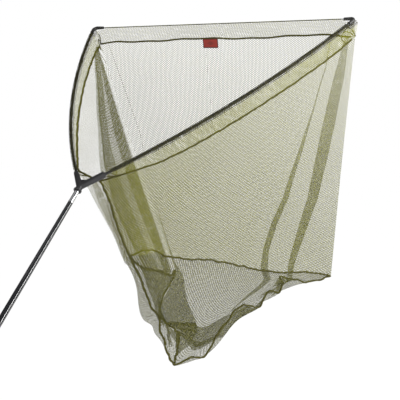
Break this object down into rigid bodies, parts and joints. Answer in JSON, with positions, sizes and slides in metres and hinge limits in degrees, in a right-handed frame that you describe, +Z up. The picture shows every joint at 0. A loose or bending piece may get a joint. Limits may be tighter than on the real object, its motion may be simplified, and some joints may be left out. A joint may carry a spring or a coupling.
{
  "type": "landing net",
  "caption": "Triangular-headed fishing landing net with a long pole, a screw-in spreader block, bowed arms, a front cord and a deep see-through mesh bag.",
  "frame": {"origin": "centre of the foam grip, on the pole's axis", "axes": "+X horizontally from the grip towards the net, +Z up as the net is held out, +Y to the user's left; the object is the same both sides of the XZ plane apart from the label"},
  "size_m": [2.3113, 1.071, 1.8096],
  "materials": {
    "gloss_pole": "black clear-coated carbon tube, high gloss",
    "bright_metal": "turned and polished, bright",
    "grip_foam": "dense matt foam",
    "black_rubber": "matt rubber",
    "block_plastic": "moulded black, fine satin texture",
    "stud_brass": "machined thread",
    "arm_rod": "black rod under mesh, satin",
    "tip_plastic": "moulded black",
    "front_cord": "tight twisted cord",
    "net_mesh": "soft knitted olive mesh, see-through",
    "binding_tape": "olive woven binding tape, folded over and stitched",
    "label_cloth": "red woven label with plain border, no lettering"
  },
  "bodies": {
    "handle": {"handle_pole": "gloss_pole", "handle_ferrule": "bright_metal", "ferrule_lip_ring": "bright_metal", "handle_grip": "grip_foam", "grip_collar": "black_rubber", "butt_cap": "black_rubber"},
    "washer": {"thread_washer": "black_rubber"},
    "head": {"thread_stud": "stud_brass", "spreader_block": "block_plastic", "front_sleeve": "net_mesh", "left_wall": "net_mesh", "right_wall": "net_mesh", "front_wall": "net_mesh", "front_floor": "net_mesh", "left_floor": "net_mesh", "right_floor": "net_mesh", "back_seam_tape": "binding_tape", "left_base_tape": "binding_tape", "right_base_tape": "binding_tape", "left_floor_tape": "binding_tape", "right_floor_tape": "binding_tape", "front_sleeve_tape": "binding_tape", "label": "label_cloth"},
    "left_arm": {"left_arm": "arm_rod", "left_arm_root": "bright_metal", "left_arm_ring": "black_rubber", "left_tip_elbow": "tip_plastic", "left_front_cord": "front_cord", "left_cord_knot": "front_cord", "left_sleeve": "net_mesh", "left_sleeve_tape": "binding_tape"},
    "right_arm": {"right_arm": "arm_rod", "right_arm_root": "bright_metal", "right_arm_ring": "black_rubber", "right_tip_elbow": "tip_plastic", "right_front_cord": "front_cord", "right_cord_knot": "front_cord", "right_sleeve": "net_mesh", "right_sleeve_tape": "binding_tape"}
  },
  "joints": [
    {"name": "screw_travel", "type": "slide", "parent": "handle", "child": "washer", "axis": [0.7145, 0, 0.6997], "range_m": [0, 0.0116]},
    {"name": "head_screw", "type": "hinge", "parent": "washer", "child": "head", "pos_m": [1.16459, 0, 1.14045], "axis": [0.7145, 0, 0.6997], "range_deg": [0, 3240]},
    {"name": "left_arm_pull", "type": "slide", "parent": "head", "child": "left_arm", "axis": [0.6443, 0.6293, 0.4346], "range_m": [0, 0.045]},
    {"name": "right_arm_pull", "type": "slide", "parent": "head", "child": "right_arm", "axis": [0.6443, -0.6293, 0.4346], "range_m": [0, 0.045]}
  ],
  "couplings": [
    {"joint": "screw_travel", "follows": "head_screw", "m_per_rad": 0.00020213}
  ]
}
